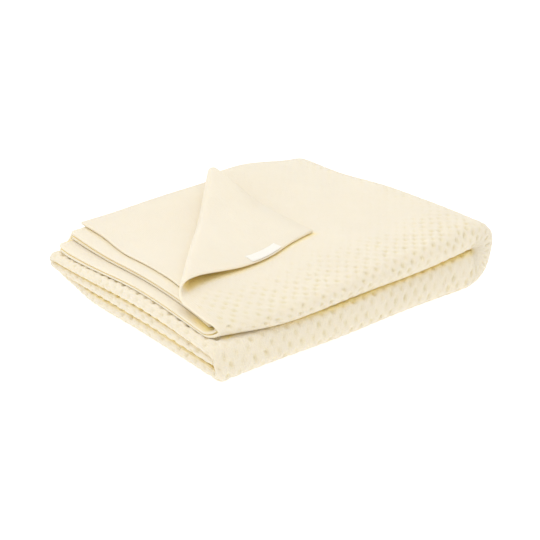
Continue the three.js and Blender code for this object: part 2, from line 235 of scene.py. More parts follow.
def bundle(u, w, face):
    """x, y and z of the folded cloth before its corner is turned back: the section above is carried
    along the upper half, round the right-hand turn, along the lower half and round the left-hand fold."""
    fold = np.clip(w - 3, 0, 1) * np.pi
    way = np.minimum(np.minimum(w, W_END - w), 3)
    turn = np.clip(way - 1, 0, 1)
    angle = np.pi * (0.5 - turn)
    offset = face * np.cos(fold)
    upper = 1 - smoothstep(turn, 0, 1)
    level = section(u, offset, 0.0, 0.0, BACK_EDGE)[1]
    start = TURN_START - TURN_BACK * (1 - upper) * level / PAIRS
    upper_end = np.where((w < 3) & (u < FRONT_MIDDLE), curve(TOP_END, u), curve(UPPER_END, u))
    straight = np.where(way <= 1, lerp(upper_end, start, way),
                        lerp(start, curve(LOWER_END, u), np.clip(way - 2, 0, 1)))
    front = front_edge(straight, upper)
    slant = NOSE["slant"] * straight / SPAN
    nose = lerp(NOSE["lower"] + slant, NOSE["upper"] - slant, upper)
    y = section(u, offset, front, nose, BACK_EDGE - UPPER_SETBACK * upper)[0]
    groove = groove_height(straight, y)
    rise = np.maximum(np.sin(angle), 0) ** SHOULDER
    z = np.where(turn < 0.5, groove + level * pair_height(straight, y) * rise,
                 groove * (1 + level / PAIRS * np.sin(angle)))
    spread = smoothstep(groove - z, 0, groove) * smoothstep(turn, FOOT["start"], FOOT["end"])
    sag = FOOT["sag"] * hump(y - front, FOOT["width"]) * spread
    turned = TURN_REACH * (TURN_CORE + level) / (TURN_CORE + PAIRS) * np.cos(angle)
    x = straight + turned - face * np.sin(fold) * LEFT_FOLD_REACH
    return x, y - sag, z


right_end = bundle(np.array(1.0), np.array(TURN_MIDDLE), RIGHT_SIDE)[0]
print("middle of the right-hand turn: x =", round(float(right_end), 1), "mm")

# %% [markdown]
# ## The corner that is turned back
# One corner of the top layer is lifted, rolled over a slanting line and laid down with its smooth reverse
# up. Bending a grid with a curve modifier would stretch it. Here each point past the line is wound round a
# roll of a given radius, and the rest of its way is laid flat on the layer below, so lengths are kept.

# %% The turned corner
FOLD_AT_LEFT = np.array([48.8, 107.3])      # a place on its fold near the left hem, and one at the back
FOLD_AT_BACK = np.array([232.3, BACK_EDGE])
ROLL_RADIUS = (6.5, 7.0)                    # of the roll at those two ends
RISE = dict(height=1.0, start=0.3, width=35.0)            # the layer lifts a little beside the roll
SLIP = dict(shift=-3.6, width=50.0, shear=-0.3)           # the corner lies a little askew
FLAP_GAP = 0.9                # between the corner and the layer that it lies on
FALL = dict(reach=30.0, gain=32.0, power=1.6)             # how the corner falls from roll to layer
FOLD_LENGTH = np.linalg.norm(FOLD_AT_BACK - FOLD_AT_LEFT)
FOLD_WAY = (FOLD_AT_BACK - FOLD_AT_LEFT) / FOLD_LENGTH
FOLD_OUT = np.array([-FOLD_WAY[1], FOLD_WAY[0]])


def beside_fold(u, w, x, y):
    """Distance out past the corner's fold, and along it. Only the top layer's points can be past it."""
    dx, dy = x - FOLD_AT_LEFT[0], y - FOLD_AT_LEFT[1]
    top = (w <= 1) & (u <= 1)
    out = np.where(top, dx * FOLD_OUT[0] + dy * FOLD_OUT[1], -np.inf)
    return out, dx * FOLD_WAY[0] + dy * FOLD_WAY[1]


def cloth(u, w, face):
    """Points of the folded blanket in mm: the bundle, with the corner of its top layer rolled over.
    Past the fold a point goes round the roll by its distance over the radius, at most half a turn, and
    what is left of the distance runs back over the layer, falling from the roll's height to the layer."""
    u, w, face = np.broadcast_arrays(*(np.asarray(v, float) for v in (u, w, face)))
    x, y, z = bundle(u, w, face)
    out, along = beside_fold(u, w, x, y)
    share = np.clip(along / FOLD_LENGTH, 0, 1)
    radius = lerp(*ROLL_RADIUS, share)
    rise = RISE["height"] * smoothstep(share, RISE["start"], 1)
    z = z + rise * hump(np.minimum(out, 0), RISE["width"])
    offset = (face - CLOTH_MIDDLE) * pair_height(x, y)
    angle = np.clip(out / radius, 0, np.pi)
    past = np.maximum(out - np.pi * radius, 0)
    across = (radius - offset) * np.sin(angle) - past
    slipped = along + SLIP["shift"] * smoothstep(out, 0, SLIP["width"]) + SLIP["shear"] * past
    flap_x = FOLD_AT_LEFT[0] + slipped * FOLD_WAY[0] + across * FOLD_OUT[0]
    flap_y = FOLD_AT_LEFT[1] + slipped * FOLD_WAY[1] + across * FOLD_OUT[1]
    pair = pair_height(flap_x, flap_y)
    layer = groove_height(flap_x, flap_y) + (OUTER_LEVEL + CLOTH_MIDDLE) * pair
    lying = (RIGHT_SIDE - REVERSE) * pair + FLAP_GAP
    fall = np.exp(-((past / (FALL["reach"] + FALL["gain"] * share)) ** FALL["power"]))
    lift = np.where(past > 0, lerp(lying, rise + 2 * radius, fall), rise + radius * (1 - np.cos(angle)))
    flap_z = layer + lift + offset * np.cos(angle)
    rolled = out > 0
    return np.stack([np.where(rolled, flap_x, x), np.where(rolled, flap_y, y),
                     np.where(rolled, flap_z, z)], -1)


print("corner fold", round(FOLD_LENGTH), "mm long, roll radius", ROLL_RADIUS, "mm")

# %% [markdown]
# ## The cloth as a grid of knit steps
# The knit repeats every 13.5 mm both ways, so the cloth is measured in steps of an eighth of a repeat along
# its own surface. Every bump then falls on the grid in the same way. Steps are worked out from the length
# of two lines on the right side, one across the cloth and one along it.

# %% Steps across and along the cloth
REPEAT = 13.5                 # mm from bump to bump in a row
REPEAT_STEPS = 8
LARGEST_CELL = 16             # steps
LINE_ACROSS, LINE_ALONG = 0.6, 0.85         # w and u of the two measured lines
LINE_PLACES = 4001            # places where such a line is measured


def measured(line, top):
    """Lengths along a line of points, at even places of its number from 0 to top: the sum of the pieces."""
    number = np.linspace(0, top, LINE_PLACES)
    points = np.stack(line(number), -1)
    pieces = np.linalg.norm(np.diff(points, axis=0), axis=1)
    return number, np.concatenate([[0], np.cumsum(pieces)])


def even_steps(line, top):
    """The line's number at even steps of length, as many as make whole largest cells."""
    number, length = measured(line, top)
    count = LARGEST_CELL * round(length[-1] * REPEAT_STEPS / REPEAT / LARGEST_CELL)
    return np.interp(np.arange(count + 1) / count * length[-1], length, number), length[-1]


u_steps, cloth_width = even_steps(lambda n: bundle(n, 0 * n + LINE_ACROSS, RIGHT_SIDE), U_END)
w_steps, cloth_length = even_steps(lambda n: bundle(0 * n + LINE_ALONG, n, RIGHT_SIDE), W_END)
u_step, w_step = cloth_width / (len(u_steps) - 1), cloth_length / (len(w_steps) - 1)
print("cloth", round(cloth_width), "by", round(cloth_length), "mm in", len(u_steps) - 1, "by",
      len(w_steps) - 1, "steps")

# %% [markdown]
# ## Fine cells where the cloth shows
# A million even faces would spend most of them inside the pile. The grid is split like a quadtree instead:
# large cells on hidden panels, small ones in folds, and one or two steps where bumps show. An outline
# also takes in the corners of the cell's smaller neighbours, so the faces meet without gaps.

# %% Where the bumps show, and how fine each place is
# Areas of the right side that show: u from, u to, w from, w to, cell in steps
BUMPY = [(-1, 0.8, -1, 0.92, 2), (0.74, 1.88, -1, 1.01, 1), (-1, 1.88, 0.87, 1.01, 1),
         (-1, 1.72, 0.99, 2.01, 1), (0.93, 1.97, 1.99, 4.0, 1), (-1, 6, 2.96, 3.98, 1),
         (3.02, 3.98, -1, 3.1, 2)]
FADE_U, FADE_W = 0.025, 0.02  # half widths of the areas' soft borders
JUST_SHOWS = 0.01             # share from which a border counts as bumpy
UNDER_FOLD = 8.0              # mm beside the corner's fold where the bumps end
# Areas of both faces that bend: u from, u to, w from, w to, cell in steps
BENT = [(1, 2, -1, 8, 2), (3, 4, -1, 8, 2), (-1, 6, 1, 2, 4), (-1, 6, 5, 6, 4), (-1, 6, 3, 4, 2),
        (-1, 1, -1, 1, 8), (-1, 1, 6, 8, 8), (2, 6, -1, 0.2, 4), (2, 6, 6.8, 8, 4), (2, 6, 2.85, 4.15, 4)]
ROLL_BAND = (-12.0, 34.0)     # mm beside the corner's fold where cells are fine too


def shown_areas(u, w, out):
    """For each bumpy area, 1 where the right side's bumps show and 0 elsewhere, with soft borders, less the
    turned corner."""
    clear = smoothstep(-out, 0, UNDER_FOLD)
    return [clear * smoothstep(u, u0 - FADE_U, u0 + FADE_U) * fade(u, u1 - FADE_U, u1 + FADE_U)
            * smoothstep(w, w0 - FADE_W, w0 + FADE_W) * fade(w, w1 - FADE_W, w1 + FADE_W)
            for u0, u1, w0, w1, _ in BUMPY]


def wanted_sizes(right_side):
    """The largest cell that each step may lie in: the least of the areas that it is in."""
    u = (u_steps[:-1, None] + u_steps[1:, None]) / 2
    w = (w_steps[None, :-1] + w_steps[None, 1:]) / 2
    u, w = np.broadcast_arrays(u, w)
    x, y, _ = bundle(u, w, CLOTH_MIDDLE)
    out = beside_fold(u, w, x, y)[0]
    size = np.full(u.shape, LARGEST_CELL)
    for u0, u1, w0, w1, cell in BENT:
        inside = (u > u0) & (u < u1) & (w > w0) & (w < w1)
        size[inside] = np.minimum(size[inside], cell if right_side else 2 * cell)
    rolled = (out > ROLL_BAND[0]) & (out < ROLL_BAND[1])
    size[rolled] = 2 if right_side else 1
    for share, area in zip(shown_areas(u, w, out), BUMPY):
        if right_side:
            size[share > JUST_SHOWS] = np.minimum(size[share > JUST_SHOWS], area[-1])
    return size


# %% Split the grid
def split_cells(wanted):
    """Cells as (size, rows, columns): blocks are halved until none is larger than any step in it wants."""
    cells = []
    still_open = np.ones([n // LARGEST_CELL for n in wanted.shape], bool)
    size = LARGEST_CELL
    while size >= 1:
        rows, columns = (n // size for n in wanted.shape)
        least = wanted.reshape(rows, size, columns, size).min(axis=(1, 3))
        whole = still_open & (least >= size)
        i, j = np.nonzero(whole)
        cells.append((size, i * size, j * size))
        still_open = np.repeat(np.repeat(still_open & ~whole, 2, 0), 2, 1)
        size //= 2
    return cells


right_cells = split_cells(wanted_sizes(True))
reverse_cells = split_cells(wanted_sizes(False))
print("cells by size, right side:", {s: len(i) for s, i, j in right_cells},
      "reverse:", {s: len(i) for s, i, j in reverse_cells})


# %% Corners, outlines and the rim
def ring(rows, columns):
    """Steps round a block of rows by columns, anticlockwise as seen from the right side."""
    i, j = np.arange(rows), np.arange(columns)
    return (np.concatenate([i, np.full(columns, rows), rows - i, np.zeros(columns, int)]),
            np.concatenate([np.zeros(rows, int), j, np.full(rows, columns), columns - j]))


def corners(cells):
    """Grid points that are a corner of any cell."""
    used = np.zeros((len(u_steps), len(w_steps)), bool)
    for size, i, j in cells:
        for a, b in ((0, 0), (size, 0), (size, size), (0, size)):
            used[i + a, j + b] = True
    return used


def outlines(cells, used, number, backwards):
    """Vertices and lengths of the cells' faces: the ring round each cell, less its unused points."""
    vertices, lengths = [], []
    for size, i, j in cells:
        a, b = ring(size, size)
        if backwards:
            a, b = a[::-1], b[::-1]
        rows, columns = i[:, None] + a, j[:, None] + b
        keep = used[rows, columns]
        vertices.append(number[rows, columns][keep])
        lengths.append(keep.sum(axis=1))
    return np.concatenate(vertices), np.concatenate(lengths)


right_used, reverse_used = corners(right_cells), corners(reverse_cells)
rim_i, rim_j = ring(len(u_steps) - 1, len(w_steps) - 1)
on_rim = right_used[rim_i, rim_j] | reverse_used[rim_i, rim_j]
right_used[rim_i, rim_j] = reverse_used[rim_i, rim_j] = on_rim
rim_i, rim_j = rim_i[on_rim], rim_j[on_rim]
print("points:", right_used.sum(), "on the right side,", reverse_used.sum(), "on the reverse")

# %% [markdown]
# ## The knit's relief
# On the real cloth the loops gather into rows of oval bumps, each row shifted by half a repeat, with deep
# narrow pits between. A displacement texture would need a much finer mesh. Here the relief is a formula on
# the grid's own steps, worked through the thickness, so no bump can reach into the next layer. Knitting is
# never quite even, so every pit gets its own depth and every row its own shift from a seeded draw.

# %% Sizes of the knit
BUMP_TOP = 0.49               # face of the bumps' tops, just short of the next layer's
BUMP_DEPTH = 0.22             # depth of the pits, in pair heights
PIT_POWER = 3.8               # a higher power gives narrower pits
LEAN = 0.57                   # above a half, the pits lean along one diagonal of the knit
HALF_REPEAT = REPEAT_STEPS // 2             # steps from a bump to the next pit
SEED = 7
PIT_DEPTHS = (0.45, 1.5)      # least and most depth of single pits, as shares of the usual one
ROW_SHIFT = 0.8               # steps by which a row of pits may lie to one side
CORE = (0.3, 1.9)             # levels over which the bumps grow from the right-hand turn's core outwards
TURN_PART = dict(begin=(0.9, 1.15), end=(1.85, 2.1))        # w of that turn
LYING = dict(depth=0.14, u=(0.78, 0.98), w=(0.92, 1.2))     # shallow pits where the top layer lies smooth
FOLDED = dict(depth=0.6, w=(2.94, 3.06))                    # and on the left-hand folds
DRIFT = dict(steps=0.9, length_u=260.0, phase_u=0.4, length_w=330.0, phase_w=1.1)     # of the rows
HEM_WIDTH = (4.0, 9.0)        # mm from the edge where the plain hem passes into bumps
RIM_ROWS = 3                  # rows of points round the hem's edge
draw = np.random.default_rng(SEED)
pit_rows = len(u_steps) // HALF_REPEAT + 3
pit_columns = len(w_steps) // HALF_REPEAT + 3
pit_depths = draw.uniform(*PIT_DEPTHS, (pit_rows, pit_columns))
row_shifts = draw.uniform(-ROW_SHIFT, ROW_SHIFT, pit_rows)
column_shifts = draw.uniform(-ROW_SHIFT, ROW_SHIFT, pit_columns)
print("depths drawn for", pit_rows, "by", pit_columns, "half repeats")


# %% Relief, hem and rim
def hem_share(i, j):
    """0 on the plain hem and 1 on the knit, by the distance to the nearest edge."""
    to_edge = np.minimum(np.minimum(i, len(u_steps) - 1 - i) * u_step,
                         np.minimum(j, len(w_steps) - 1 - j) * w_step)
    return smoothstep(to_edge, *HEM_WIDTH)


def relief(i, j):
    """Height from 0 in a pit to 1 on a bump: the cosines of two crossing diagonal waves, in uneven shares,
    give leaning pits in rows set off by half a repeat, and a power of the depth narrows the pits. Also
    gives each point the depth that was drawn for the pit or bump it is nearest to."""
    wander = DRIFT["steps"] * np.sin(2 * np.pi * j * w_step / DRIFT["length_w"] + DRIFT["phase_w"])
    wander = wander + np.interp(j / HALF_REPEAT, np.arange(pit_columns), column_shifts)
    sway = DRIFT["steps"] * np.sin(2 * np.pi * i * u_step / DRIFT["length_u"] + DRIFT["phase_u"])
    sway = sway + np.interp(i / HALF_REPEAT, np.arange(pit_rows), row_shifts)
    across, along = (i + wander) / HALF_REPEAT, (j + sway) / HALF_REPEAT
    waves = lerp(np.cos(np.pi * (across - along)), np.cos(np.pi * (across + along)), LEAN)
    row, column = np.round(across).astype(int) + 1, np.round(along).astype(int) + 1
    return 1 - ((1 - waves) / 2) ** PIT_POWER, pit_depths[row, column]


def right_faces(i, j):
    """Face of the right side at grid points, and how high the bumps stand there, from 0 in a pit to 1: the
    plain face, raised by the relief where the bumps show and by less where the cloth lies smooth."""
    u, w = u_steps[i], w_steps[j]
    x, y, _ = bundle(u, w, RIGHT_SIDE)
    height, slack = relief(i, j)
    bumpy = np.max(shown_areas(u, w, beside_fold(u, w, x, y)[0]), axis=0) * hem_share(i, j)
    bent = np.maximum(smoothstep(u, *LYING["u"]), smoothstep(w, *LYING["w"]))
    turning = smoothstep(w, *TURN_PART["begin"]) * fade(w, *TURN_PART["end"])
    roomy = smoothstep(section(u, RIGHT_SIDE, 0.0, 0.0, BACK_EDGE)[1], *CORE)
    share = lerp(LYING["depth"], 1, bent) * lerp(1, roomy, turning)
    share = share * lerp(1, FOLDED["depth"], smoothstep(w, *FOLDED["w"]))
    raised = BUMP_TOP - RIGHT_SIDE - BUMP_DEPTH * share * slack * (1 - height)
    return RIGHT_SIDE + bumpy * raised, np.maximum(lerp(1, height, bumpy * share * slack), 0)


def rim_points(row):
    """A row of the half-round hem: the face turns from the right side to the reverse by a cosine, while
    the point moves out past the edge by a sine."""
    angle = np.pi * row / (RIM_ROWS + 1)
    half = (RIGHT_SIDE - REVERSE) / 2
    bulge = half * PAIR["height"] * np.sin(angle)
    last_i, last_j = len(u_steps) - 1, len(w_steps) - 1
    out_u = ((rim_i == last_i) * 1.0 - (rim_i == 0)) * bulge / BACK_EDGE
    out_w = ((rim_j == last_j) * 1.0 - (rim_j == 0)) * bulge / TURN_START
    return cloth(u_steps[rim_i] + out_u, w_steps[rim_j] + out_w, CLOTH_MIDDLE + half * np.cos(angle))


# %% Put the blanket together
right_i, right_j = np.nonzero(right_used)
reverse_i, reverse_j = np.nonzero(reverse_used)
faces_there, heights_there = right_faces(right_i, right_j)
blocks = [cloth(u_steps[right_i], w_steps[right_j], faces_there),
          cloth(u_steps[reverse_i], w_steps[reverse_j], REVERSE)]
blocks += [rim_points(row + 1) for row in range(RIM_ROWS)]
points = np.concatenate(blocks)
points[:, 2] = np.maximum(points[:, 2], 0)      # the floor presses the lowest bumps flat
starts = np.cumsum([0] + [len(block) for block in blocks])


def numbered(used, first):
    """A grid that holds each used point's vertex number."""
    number = np.zeros(used.shape, int)
    number[used] = first + np.arange(used.sum())
    return number


right_number, reverse_number = numbered(right_used, 0), numbered(reverse_used, starts[1])
rim_rows = [right_number[rim_i, rim_j]]
rim_rows += [start + np.arange(len(rim_i)) for start in starts[2:-1]]
rim_rows += [reverse_number[rim_i, rim_j]]
rim_faces = [np.stack([np.roll(a, -1), a, b, np.roll(b, -1)], 1) for a, b in zip(rim_rows, rim_rows[1:])]
right_face, right_length = outlines(right_cells, right_used, right_number, False)
reverse_face, reverse_length = outlines(reverse_cells, reverse_used, reverse_number, True)
rim_face = np.concatenate(rim_faces)
face_vertices = np.concatenate([right_face, reverse_face, rim_face.ravel()])
face_lengths = np.concatenate([right_length, reverse_length, np.full(len(rim_face), 4)])
print("blanket:", len(points), "points,", len(face_lengths), "faces,", (face_lengths - 2).sum(), "triangles")

# %% [markdown]
# ## Places tucked between layers
# Where two layers lie close together, light bounces from yarn to yarn and comes out golden. An Ambient
# Occlusion node could find such places, but what it finds belongs to the renderer and not to the cloth.
# Here the map of folds tells how far each point lies behind the end of the layer that covers it, and the
# mesh keeps that share, with which the material paints that golden bounce light and shade into the yarn's
# colour.

# %% How far each place is tucked away
PANEL = BACK_EDGE - HEM_SETBACK - FRONT_ROLL - RIGHT_SIDE * FOLD_STEP     # depth of the outer panel
UNDER_FLAP = (-8.0, 2.0)      # mm across the outline of the turned corner
ROLLED = (1.2, 2.6)           # radians round the corner's roll
NEAR_GROOVE = (1.77, 1.97)    # u of the front rolls
GROOVE_LEFT = (2.6, 2.9)      # w where the groove opens at its left-hand end
BETWEEN = dict(tongue=(3.05, 3.3), sheet=(3.7, 3.95), reverse=(0.78, 0.98))      # w, w and u of inner faces
DEEP = (-5.0, 7.0)            # mm in from where a layer's end is covered
OPEN_FROM = (30.0, 90.0)      # y over which the layers' ends part from each other
LOWER_OPEN = (14.0, 5.0)      # mm of the lower half's end that lie open at the front, and behind


def covered(u, w):
    """How far a point of the right side is tucked away, from 0 to 1. Under the turned corner it is a step
    of the distance to the corner's outline, found by laying the corner out flat again; on the front rolls
    and in the turn it grows towards the groove; on the inner panels and the inner sheet it grows from their
    own left-hand end where they face down, and from that of the layer above where they face up."""
    x, y, _ = bundle(u, w, RIGHT_SIDE)
    out, along = beside_fold(u, w, x, y)
    radius = lerp(*ROLL_RADIUS, np.clip(along / FOLD_LENGTH, 0, 1))
    past = np.where(np.isfinite(out), np.maximum(-out, 0), 0)
    along = along - SLIP["shift"] - SLIP["shear"] * past
    far = past + np.pi * radius
    flat_x = FOLD_AT_LEFT[0] + along * FOLD_WAY[0] + far * FOLD_OUT[0]
    flat_y = FOLD_AT_LEFT[1] + along * FOLD_WAY[1] + far * FOLD_OUT[1]
    from_back = BACK_EDGE - UPPER_SETBACK - HEM_SETBACK - flat_y
    hem = curve(TOP_END, from_back / PANEL)
    under = smoothstep(np.minimum(flat_x - hem, from_back), *UNDER_FLAP) * np.isfinite(out)
    rolled = smoothstep(out / radius, *ROLLED)
    groove = smoothstep(u, *NEAR_GROOVE) * (u < 2) * fade(w, *GROOVE_LEFT)
    tongue = (u > 4) * (1 - smoothstep(w, *BETWEEN["tongue"]))
    inner = np.maximum(tongue, smoothstep(w, *BETWEEN["sheet"]))
    panel = (u > 2) & (u < 3) & (w < 3)
    above = curve(UPPER_END, (BACK_EDGE - UPPER_SETBACK - HEM_SETBACK - y) / PANEL)
    faces_up = np.where(w < LEFT_FOLD_MIDDLE, u > 4, (u > 2) & (u < 3))
    parted = smoothstep(y, *OPEN_FROM)
    upper_end = lerp(curve(UPPER_END, u), above, faces_up * parted)
    lower_end = curve(LOWER_END, u) + lerp(*LOWER_OPEN, parted)
    in_upper = np.maximum(inner, panel) * smoothstep(x - upper_end, *DEEP)
    in_lower = np.maximum(inner, panel * smoothstep(x - lower_end, *DEEP))
    between = np.where(np.minimum(w, W_END - w) < TURN_MIDDLE, in_upper, in_lower)
    return np.max([under, rolled, groove, between], axis=0)


right_tucked = covered(u_steps[right_i], w_steps[right_j])
reverse_tucked = smoothstep(u_steps[reverse_i], *BETWEEN["reverse"])
print("tucked away:", round(100 * right_tucked.mean()), "% of the points on the right side")

# %% [markdown]
# ## From arrays to a mesh
# Vertices could be added one at a time with bmesh, which is slow for so large a cloth. foreach_set copies
# whole arrays into the mesh instead. The UV map holds the cloth laid out flat, in repeats of the knit, and
# attributes carry what the material has to know about each point.

# %% Make meshes from arrays
def mesh_object(name, points, face_vertices, face_lengths, flat, values):
    """An object from whole arrays: points in m, faces one after another, a flat UV map, and values that
    the material reads as point attributes."""
    mesh = bpy.data.meshes.new(name)
    mesh.vertices.add(len(points))
    mesh.vertices.foreach_set("co", points.astype(np.float32).ravel())
    mesh.loops.add(len(face_vertices))
    mesh.loops.foreach_set("vertex_index", face_vertices.astype(np.int32))
    mesh.polygons.add(len(face_lengths))
    face_starts = np.concatenate([[0], np.cumsum(face_lengths)[:-1]])
    mesh.polygons.foreach_set("loop_start", face_starts.astype(np.int32))
    mesh.update(calc_edges=True)
    mesh.uv_layers.new(name="flat").data.foreach_set("uv", flat[face_vertices].astype(np.float32).ravel())
    for key, value in values.items():
        mesh.attributes.new(key, "FLOAT", "POINT").data.foreach_set("value", value.astype(np.float32))
    mesh.shade_smooth()
    mesh.validate()
    piece = bpy.data.objects.new(name, mesh)
    bpy.context.scene.collection.objects.link(piece)
    return piece


# %% The blanket's object
BOX_PLACES = 301              # each way, to find the folded cloth's box
all_i = np.concatenate([right_i, reverse_i] + [rim_i] * RIM_ROWS)
all_j = np.concatenate([right_j, reverse_j] + [rim_j] * RIM_ROWS)
middle = Vector(((cad_low.x + cad_high.x) / 2, (cad_low.y + cad_high.y) / 2, cad_low.z))
box_u, box_w = np.meshgrid(np.linspace(0, U_END, BOX_PLACES), np.linspace(0, W_END, BOX_PLACES))
bundle_grid = np.stack(bundle(box_u, box_w, RIGHT_SIDE), -1)
grid_low, grid_high = bundle_grid.min(axis=(0, 1)), bundle_grid.max(axis=(0, 1))
shift = np.array([(grid_low[0] + grid_high[0]) / 2, (grid_low[1] + grid_high[1]) / 2, grid_low[2]])


def placed(points):
    """Points of the folded cloth, in m, in the frame's own place: centred on the frame's box."""
    return (points - shift) * MM + np.array(middle)


blanket = mesh_object(
    "knitted_blanket", placed(points), face_vertices, face_lengths,
    flat=np.stack([all_j * w_step, all_i * u_step], 1) / REPEAT,
    values={
        # the bumps' height, with which the material also paints shade into the pits
        "bump": np.concatenate([heights_there, np.ones(len(points) - len(heights_there))]),
        "reverse": np.concatenate([np.zeros(starts[1]), np.ones(starts[2] - starts[1]),
                                   np.full(len(points) - starts[2], 0.5)]),
        # share of painted golden bounce light and shade, where the cloth is tucked between layers
        "tucked": np.concatenate([right_tucked, reverse_tucked, np.zeros(len(points) - starts[2])]),
    })
print("blanket box in mm:", [round(v / MM, 1) for v in blanket.dimensions])

# %% [markdown]
# ## The woven label
# A small white tape is sewn along the hem of the turned-back corner. A flat plane would float over the
# curved cloth, so its points are taken from the reverse of the flap itself and raised by the tape's height,
# with a height that drops at the edges so that the tape lies down on the knit.

# %% The label
LABEL = dict(length=56.0, depth=11.0, thick=0.9, gap=0.35, inset=-0.9, start=0.216)     # mm; start is a u
LABEL_STEPS = (72, 20)        # points along and across it
EDGE_SHARE = 0.035            # share of the length over which the edge rounds off
EDGE_POWER = 0.25


def label_points(a, b, top):
    """Points of the tape at shares a along and b across it: on the flap's reverse, and raised by a height
    that falls off at the edges by the fourth root of the distance to them."""
    u = LABEL["start"] + LABEL["length"] / PANEL * a
    w = (LABEL["inset"] + LABEL["depth"] * b) / (TURN_START - curve(TOP_END, u))
    base = cloth(u, w, REVERSE)
    side = np.minimum(np.minimum(a, 1 - a) * LABEL["length"], np.minimum(b, 1 - b) * LABEL["depth"])
    rounded = np.clip(side / (EDGE_SHARE * LABEL["length"]), 0, 1) ** EDGE_POWER
    base[..., 2] += LABEL["gap"] + (LABEL["thick"] * rounded if top else 0)
    return base


label_shares = [np.linspace(0, 1, steps) for steps in LABEL_STEPS]
label_a, label_b = np.meshgrid(*label_shares, indexing="ij")
label_number = np.arange(label_a.size).reshape(label_a.shape)
top_quads = np.stack([label_number[:-1, :-1], label_number[:-1, 1:], label_number[1:, 1:],
                      label_number[1:, :-1]], -1).reshape(-1, 4)
edge_i, edge_j = ring(LABEL_STEPS[0] - 1, LABEL_STEPS[1] - 1)
edge = label_number[edge_i, edge_j]
edge_quads = np.stack([edge, np.roll(edge, -1), np.roll(edge, -1) + label_a.size, edge + label_a.size], 1)
label_quads = np.concatenate([top_quads, top_quads[:, ::-1] + label_a.size, edge_quads])
label_xyz = np.concatenate([label_points(label_a, label_b, side).reshape(-1, 3) for side in (True, False)])
label_flat = np.stack([label_a.ravel() * LABEL["length"], label_b.ravel() * LABEL["depth"]], 1) * MM
label = mesh_object("woven_label", placed(label_xyz), label_quads.ravel(), np.full(len(label_quads), 4),
                    flat=np.tile(label_flat, (2, 1)), values={})
print("label box in mm:", [round(v / MM, 1) for v in label.dimensions])

# %% [markdown]
# ## Yarn and tape
# The yarn is undyed cream cotton: matt and a little fuzzy. The material paints shade inside the pits, and
# golden bounce light and shade between layers, where light bounces from loop to loop. The bumps are real
# faces, so the material only adds what is smaller: the V of every stitch, the uneven yarn, and a slow change
# of tone.
# Stitches are a node group, because the blanket's two sides and the tape all use rows of small threads.

# %% Colours and the thread group
LOOP_DEPTH = 0.6              # share of a rib's height that its loops cut into it


def srgb(red, green, blue):
    """A screen colour from 0 to 255 as the linear colour that shaders use."""
    value = np.array([red, green, blue]) / 255
    linear = np.where(value <= 0.04045, value / 12.92, ((value + 0.055) / 1.055) ** 2.4)
    return (*linear, 1.0)


def feed(tree, value, target, socket):
    """Sets a socket to a number or a colour, or links it to a (node, socket) pair."""
    if isinstance(value, tuple) and isinstance(value[0], bpy.types.Node):
        tree.links.new(value[0].outputs[value[1]], target.inputs[socket])
    else:
        target.inputs[socket].default_value = value


def math_node(tree, operation, *values):
    """A Math node whose inputs are numbers or (node, socket) pairs."""
    node = tree.nodes.new("ShaderNodeMath")
    node.operation = operation
    for slot, value in enumerate(values):
        feed(tree, value, node, slot)
    return node, 0


def half_rounds(tree, place):
    """A row of half-round ribs, one to a unit: the sine of pi times the distance to the nearest whole place.
    Also gives that distance."""
    distance = math_node(tree, "PINGPONG", place, 0.5)
    return math_node(tree, "SINE", math_node(tree, "MULTIPLY", distance, np.pi)), distance


def thread_group():
    """Rows of small threads on a flat map: along x each thread is a half-round rib, and along y the rib is
    cut into loops that lean by the slant on either side of its middle. Height runs from 0 to 1."""
    group = bpy.data.node_groups.new("thread_rows", "ShaderNodeTree")
    sockets = [("Map", "INPUT", "NodeSocketVector"), ("Ribs", "INPUT", "NodeSocketFloat"),
               ("Loops", "INPUT", "NodeSocketFloat"), ("Slant", "INPUT", "NodeSocketFloat"),
               ("Height", "OUTPUT", "NodeSocketFloat")]
    for name, way, kind in sockets:
        group.interface.new_socket(name, in_out=way, socket_type=kind)
    enter = group.nodes.new("NodeGroupInput")
    leave = group.nodes.new("NodeGroupOutput")
    split = group.nodes.new("ShaderNodeSeparateXYZ")
    feed(group, (enter, "Map"), split, 0)
    rib, from_edge = half_rounds(group, math_node(group, "MULTIPLY", (split, 0), (enter, "Ribs")))
    lean = math_node(group, "MULTIPLY", from_edge, (enter, "Slant"))
    along = math_node(group, "MULTIPLY_ADD", (split, 1), (enter, "Loops"), lean)
    loop = math_node(group, "MULTIPLY_ADD", half_rounds(group, along)[0], LOOP_DEPTH, 1 - LOOP_DEPTH)
    feed(group, math_node(group, "MULTIPLY", rib, loop), leave, "Height")
    return group


threads = thread_group()
print("node group", threads.name, "with", len(threads.nodes), "nodes")

# %% Material helpers
MATT = {"Specular IOR Level": 0.2, "Sheen Roughness": 0.5, "Subsurface Radius": (1.0, 0.95, 0.75),
        "Subsurface Scale": 0.002}


def new_material(name, color, roughness, sheen):
    """A material with one Principled shader, and the plain numbers set on its own sockets."""
    material = bpy.data.materials.new(name)
    material.use_nodes = True
    shader = material.node_tree.nodes["Principled BSDF"]
    plain = {"Base Color": color, "Roughness": roughness, "Sheen Weight": sheen, **MATT}
    for socket, value in plain.items():
        shader.inputs[socket].default_value = value
    return material, material.node_tree, shader


# %% Helpers for nodes
# Sockets of a Mix node for its share, first, second and result
MIX_SOCKETS = dict(FLOAT=(0, 2, 3, 0), RGBA=(0, 6, 7, 2))


def flat_map(tree):
    """The UV map, which holds the piece laid out flat."""
    node = tree.nodes.new("ShaderNodeUVMap")
    node.uv_map = "flat"
    return node, "UV"


def attribute(tree, name):
    """A value that the mesh keeps for each point."""
    node = tree.nodes.new("ShaderNodeAttribute")
    node.attribute_name = name
    return node, "Fac"


def noise(tree, place, scale, detail):
    """Noise with that many lumps to a unit of the flat map."""
    node = tree.nodes.new("ShaderNodeTexNoise")
    node.inputs["Scale"].default_value = scale
    node.inputs["Detail"].default_value = detail
    feed(tree, place, node, "Vector")
    return node, "Fac"


